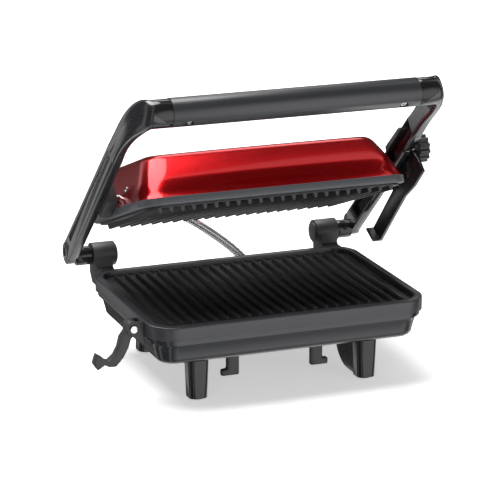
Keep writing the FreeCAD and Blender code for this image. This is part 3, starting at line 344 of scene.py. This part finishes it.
def make_dome():
    bpy.ops.object.select_all(action="DESELECT")
    bpy.ops.mesh.primitive_cube_add(size=2.0)
    dome = bpy.context.object
    dome.name = "lid_dome"
    bpy.ops.object.mode_set(mode="EDIT")
    bpy.ops.mesh.subdivide(number_cuts=25)
    bpy.ops.mesh.select_all(action="DESELECT")
    bpy.ops.object.mode_set(mode="OBJECT")
    for face in dome.data.polygons:
        face.select = face.center.z < -0.999
    bpy.ops.object.mode_set(mode="EDIT")
    bpy.ops.mesh.delete(type="FACE")
    bpy.ops.object.mode_set(mode="OBJECT")
    for vertex in dome.data.vertices:
        vertex.co = dome_point(*vertex.co)
    apply_modifier(dome, "SUBSURF", levels=1, render_levels=1)
    apply_modifier(dome, "SOLIDIFY", thickness=0.002, offset=-1.0)
    smooth(dome, 50.0)
    fit(dome, "lid", "candy_red", "lid_shell")


make_dome()


# ---------------------------------------------------------------- the conduit

# The conduit's points, in millimetres from the middle of the base
CONDUIT_ROUTE = [
    (50, 110, 52), (50, 124, 52), (41, 133, 65), (24, 134, 83), (2, 132, 101), (-20, 131, 117),
    (-42, 133, 131), (-61, 136, 142), (-70, 129.7, 149.3), (-70, 118.6, 153.3),
]
BASE_MIDDLE = Vector((0.0076, -0.012, 0.0))
HOSE_RADIUS, RING_DEPTH, RING_PITCH = 0.0046, 0.0007, 0.0024
LOWER_SHARE = 0.6


def conduit_line(points):
    curve = bpy.data.curves.new("conduit_line", "CURVE")
    curve.dimensions = "3D"
    spline = curve.splines.new("NURBS")
    spline.points.add(len(points) - 1)
    for knot, point in zip(spline.points, points):
        knot.co = (*(Vector(point) / 1000 + BASE_MIDDLE), 1.0)
    spline.order_u = 3
    spline.use_endpoint_u = True
    spline.resolution_u = 24
    line = bpy.data.objects.new("conduit_line", curve)
    bpy.context.scene.collection.objects.link(line)
    return line


def make_hose(name, line, start, length):
    """One rolled ring of the flexible metal hose, repeated along the line."""
    bpy.ops.object.select_all(action="DESELECT")
    bpy.ops.mesh.primitive_cylinder_add(vertices=20, radius=HOSE_RADIUS - RING_DEPTH,
                                        depth=RING_PITCH, end_fill_type="NOTHING")
    hose = bpy.context.object
    hose.name = name
    bpy.ops.object.mode_set(mode="EDIT")
    bpy.ops.mesh.select_all(action="SELECT")
    bpy.ops.mesh.subdivide(number_cuts=3)
    bpy.ops.object.mode_set(mode="OBJECT")
    for vertex in hose.data.vertices:
        along = vertex.co.z / RING_PITCH
        radius = HOSE_RADIUS - RING_DEPTH + RING_DEPTH * math.cos(math.pi * along) ** 2
        flat = Vector((vertex.co.x, vertex.co.y, 0)).normalized() * radius
        vertex.co = (flat.x, flat.y, vertex.co.z + RING_PITCH / 2 + start)
    rings = round(length / RING_PITCH)
    apply_modifier(hose, "ARRAY", count=rings, use_relative_offset=False,
                   use_constant_offset=True, constant_offset_displace=(0, 0, RING_PITCH),
                   use_merge_vertices=True, merge_threshold=1e-5)
    apply_modifier(hose, "CURVE", object=line, deform_axis="POS_Z")
    smooth(hose, 80.0)
    return hose


def make_conduit():
    """The hose in two lengths along one line: the lower share runs up from the base, the rest on to the
    lid.
    """
    line = conduit_line(CONDUIT_ROUTE)
    bpy.context.view_layer.update()
    total = line.data.splines[0].calc_length()
    lower_rings = round(total * LOWER_SHARE / RING_PITCH)
    split = lower_rings * RING_PITCH
    lower = make_hose("conduit_lower", line, 0.0, split)
    upper = make_hose("conduit_upper", line, split, total - split)
    bpy.data.objects.remove(line)
    route = [Vector(point) / 1000 + BASE_MIDDLE for point in CONDUIT_ROUTE]
    for hose, bodies, start, end in ((lower, ("base", "handle"), route[1], route[5]),
                                     (upper, ("handle", "lid"), route[6], route[8])):
        take_up(hose)
        bpy.ops.object.transform_apply(location=True, rotation=True, scale=True)
        dress(hose, MATERIALS["bright_steel"])
        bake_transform(hose)
    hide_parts("conduit")


make_conduit()


# ---------------------------------------------------------------- screws and elbow tongues

def screw_head(name, place, axis, radius, height):
    """A round screw head with a round socket, standing out along an axis."""
    bpy.ops.object.select_all(action="DESELECT")
    bpy.ops.mesh.primitive_cylinder_add(vertices=24, radius=radius, depth=height)
    head = bpy.context.object
    head.name = name
    bpy.ops.object.mode_set(mode="EDIT")
    bpy.ops.mesh.select_mode(type="FACE")
    bpy.ops.object.mode_set(mode="OBJECT")
    for face in head.data.polygons:
        face.select = face.normal.z > 0.9
    bpy.ops.object.mode_set(mode="EDIT")
    bpy.ops.mesh.inset(thickness=radius * 0.5)
    bpy.ops.mesh.extrude_region_move(TRANSFORM_OT_translate={"value": (0, 0, -height * 0.6)})
    bpy.ops.object.mode_set(mode="OBJECT")
    apply_modifier(head, "BEVEL", width=radius * 0.16, segments=2, limit_method="ANGLE")
    smooth(head, 40.0)
    head.rotation_euler = Vector(axis).to_track_quat("Z", "Y").to_euler()
    head.location = place
    return head


HANDLE_ANGLE = math.radians(42.1)
HANDLE_PLACE = (Matrix.Translation(JOINT_PLACE["handle_hinge"])
                @ Matrix.Rotation(-HANDLE_ANGLE, 4, "X"))
# The grip's axis from the hinge, its half length and radius, and where the collars end
GRIP_REACH, GRIP_DROP = 0.302, 0.0025
GRIP_HALF, GRIP_RADIUS, COLLAR_END = 0.1278, 0.0143, 0.146
GRIP_AXIS = Vector((0, -GRIP_REACH, -GRIP_DROP))
# The world's down, as the handle sees it
DOWNWARD = Vector((0.0, 0.67, -0.742))
TONGUE_RADIUS, TONGUE_TIP_DROP = 0.0142, 0.0115
GRIP_SCREW_REACH, GRIP_SCREW_SINK = 0.111, 0.0022
SIDE_SCREW_HEIGHT, SIDE_SCREW_FORWARD = 0.016, 0.022


def make_tongue(name, way):
    """The elbow's tapering lip that runs under the collar as far as the grip."""
    start, end = GRIP_HALF + 0.0002, COLLAR_END + 0.002
    middle = GRIP_AXIS + Vector((way * (start + end) / 2, 0, 0))
    bpy.ops.object.select_all(action="DESELECT")
    bpy.ops.mesh.primitive_cylinder_add(vertices=48, radius=TONGUE_RADIUS, depth=end - start,
                                        rotation=(0, math.pi / 2, 0), location=middle)
    tongue = bpy.context.object
    tongue.name = name
    bpy.ops.object.transform_apply(location=True, rotation=True, scale=True)
    bpy.ops.object.mode_set(mode="EDIT")
    bpy.ops.mesh.select_all(action="SELECT")
    tip = GRIP_AXIS + Vector((way * start, 0, 0)) + DOWNWARD * TONGUE_TIP_DROP
    across = Vector((way * 0.59, 0, 0)) + DOWNWARD * 0.81
    bpy.ops.mesh.bisect(plane_co=tip, plane_no=across, clear_inner=True, use_fill=True)
    bpy.ops.object.mode_set(mode="OBJECT")
    apply_modifier(tongue, "BEVEL", width=0.0008, segments=2, limit_method="ANGLE",
                   angle_limit=math.radians(30))
    smooth(tongue, 40.0)
    tongue.matrix_world = HANDLE_PLACE
    fit(tongue, "handle", "charcoal_satin")
    dress(tongue, HANDLE_BLACK)


def make_grip_screws():
    """The two screws in the grip's underside."""
    parts = []
    down = HANDLE_PLACE.to_3x3() @ Vector((0, 0, -1))
    drop = GRIP_DROP + GRIP_RADIUS - GRIP_SCREW_SINK
    for way in (-1, 1):
        place = HANDLE_PLACE @ Vector((way * GRIP_SCREW_REACH, -GRIP_REACH, -drop))
        parts.append(screw_head(f"grip_screw_{way + 2}", place, down, 0.0032, 0.0018))
    for part in parts:
        fit(part, "handle", "bright_steel")
    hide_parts("grip_screws")


def make_side_screws():
    """One screw low on each side of the dome, a little in front of its pivot."""
    parts = []
    slope = SIDE_SCREW_HEIGHT / RISE
    side = HALF_WIDTH - SIDE_SLOPE * slope + SIDE_BELLY * 4 * slope * (1 - slope)
    for way in (-1, 1):
        place = lid_place((way * side, -SIDE_SCREW_FORWARD, SEAT + SIDE_SCREW_HEIGHT))
        out = Matrix.Rotation(-LID_TIP, 3, "X") @ Vector((way * RISE, 0, SIDE_SLOPE))
        parts.append(screw_head(f"lid_side_screw_{way + 2}", place, out, 0.003, 0.0016))
    for part in parts:
        fit(part, "lid", "bright_steel")
    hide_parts("lid_side_screws")


make_tongue("left_elbow_tongue", -1)
make_tongue("right_elbow_tongue", 1)
make_grip_screws()
make_side_screws()


# ---------------------------------------------------------------- stage, lights and camera

FLOOR_GLOW = 0.5
AMBIENT = 0.06
# Each panel's aim, the angles at which it fades out and is full, and its brightness
FRONT_PANEL = ((0.40, -0.88, -0.24), 52.0, 14.0, 1.9)
OTHER_PANELS = (
    ((0.30, 0.30, -0.90), 46.0, 22.0, 1.2),
    ((0.30, 0.73, 0.61), 13.0, 8.0, 2.4),
)
# The same for the upright strips, whose aim is a bearing from +X
STRIPS = (
    (22.0, 9.0, 3.0, 1.2),
    (-129.0, 7.0, 2.0, 1.3),
    (160.0, 10.0, 3.0, 0.8),
    (111.0, 9.0, 3.0, 0.7),
)


def make_stage():
    """A plain pale floor, which gives off a little light and does not show in reflections."""
    bpy.ops.object.select_all(action="DESELECT")
    bpy.ops.mesh.primitive_plane_add(size=12.0, location=(0, 0, 0))
    floor = bpy.context.object
    floor.name = "floor"
    material = bpy.data.materials.new("floor_white")
    material.use_nodes = True
    shader = material.node_tree.nodes["Principled BSDF"]
    shader.inputs["Base Color"].default_value = (0.92, 0.92, 0.92, 1.0)
    shader.inputs["Roughness"].default_value = 0.7
    shader.inputs["Specular IOR Level"].default_value = 0.1
    shader.inputs["Emission Color"].default_value = (1.0, 1.0, 1.0, 1.0)
    shader.inputs["Emission Strength"].default_value = FLOOR_GLOW
    dress(floor, material)
    floor.visible_glossy = False


def world_glow(tree, direction, aim, wide, narrow, amount):
    """A soft patch of light round an aim, from its wide angle to its narrow one."""
    dot = tree.nodes.new("ShaderNodeVectorMath")
    dot.operation = "DOT_PRODUCT"
    tree.links.new(direction, dot.inputs[0])
    dot.inputs[1].default_value = Vector(aim).normalized()
    ramp = tree.nodes.new("ShaderNodeMapRange")
    ramp.interpolation_type = "SMOOTHSTEP"
    tree.links.new(dot.outputs["Value"], ramp.inputs["Value"])
    ramp.inputs["From Min"].default_value = math.cos(math.radians(wide))
    ramp.inputs["From Max"].default_value = math.cos(math.radians(narrow))
    ramp.inputs["To Max"].default_value = amount
    return ramp.outputs["Result"]


def make_studio():
    """A dark room with soft panels: in front, below, above the back, and thin upright strips."""
    world = bpy.data.worlds.new("studio")
    world.use_nodes = True
    bpy.context.scene.world = world
    tree = world.node_tree
    direction = tree.nodes.new("ShaderNodeTexCoord").outputs["Generated"]
    split = tree.nodes.new("ShaderNodeSeparateXYZ")
    level = tree.nodes.new("ShaderNodeCombineXYZ")
    unit = tree.nodes.new("ShaderNodeVectorMath")
    unit.operation = "NORMALIZE"
    tree.links.new(direction, split.inputs["Vector"])
    tree.links.new(split.outputs["X"], level.inputs["X"])
    tree.links.new(split.outputs["Y"], level.inputs["Y"])
    tree.links.new(level.outputs["Vector"], unit.inputs[0])
    glow = world_glow(tree, direction, *FRONT_PANEL)
    for panel in OTHER_PANELS:
        glow = math_node(tree, "ADD", glow, world_glow(tree, direction, *panel))
    for bearing, wide, narrow, amount in STRIPS:
        aim = (math.cos(math.radians(bearing)), math.sin(math.radians(bearing)), 0.0)
        strip = world_glow(tree, unit.outputs[0], aim, wide, narrow, amount)
        glow = math_node(tree, "ADD", glow, strip)
    strength = math_node(tree, "ADD", glow, AMBIENT)
    tree.nodes["Background"].inputs["Color"].default_value = (1.0, 1.0, 1.0, 1.0)
    tree.links.new(strength, tree.nodes["Background"].inputs["Strength"])


def make_lights():
    """The studio and one broad soft sun, above and a little behind."""
    make_studio()
    overhead = bpy.data.lights.new("overhead", "SUN")
    overhead.energy = 4.2
    overhead.angle = math.radians(43.0)
    lamp = bpy.data.objects.new("overhead", overhead)
    lamp.rotation_euler = Vector((-0.14, 0.33, 0.93)).to_track_quat("Z", "Y").to_euler()
    bpy.context.scene.collection.objects.link(lamp)


def make_camera():
    data = bpy.data.cameras.new("camera")
    data.sensor_width = 36.0
    data.lens = 182.04
    camera = bpy.data.objects.new("camera", data)
    camera.location = (-0.8827, -2.3169, 0.8389)
    camera.rotation_euler = (math.radians(90 - 16.23), 0.0, math.radians(-20.96))
    bpy.context.scene.collection.objects.link(camera)
    bpy.context.scene.camera = camera


make_stage()
make_lights()
make_camera()
bpy.context.scene.view_settings.view_transform = "Standard"
